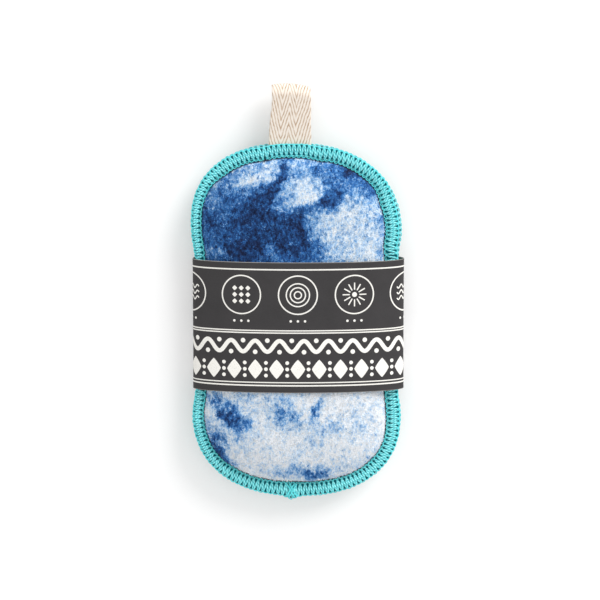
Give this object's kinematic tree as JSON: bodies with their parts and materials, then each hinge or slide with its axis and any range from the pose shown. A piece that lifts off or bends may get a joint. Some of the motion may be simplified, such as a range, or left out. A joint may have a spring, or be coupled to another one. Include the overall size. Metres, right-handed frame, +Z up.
{
  "type": "cleaning sponge",
  "caption": "Padded kitchen sponge with a plush face, a mesh scrubbing back, an overlocked edge, a twill hanging loop and a paper sleeve.",
  "frame": {"origin": "centre of the whole part's footprint, on the bench", "axes": "+X across the sponge, +Y along it to the hanging loop, +Z up out of the plush face"},
  "size_m": [0.096, 0.1903, 0.0226],
  "materials": {
    "foam": "open-cell foam, matte",
    "plush": "short plush pile, dyed in blues on white",
    "mesh": "coarse knitted mesh, slightly shiny",
    "thread": "fluffy overlock thread, matte",
    "tape": "herringbone twill, matte",
    "card": "uncoated card with pale print"
  },
  "bodies": {
    "root": {"foam_core": "foam", "front_panel": "plush", "scrubber_mesh": "mesh", "edge_stitching": "thread", "hanging_loop": "tape", "paper_sleeve": "card"}
  },
  "joints": []
}
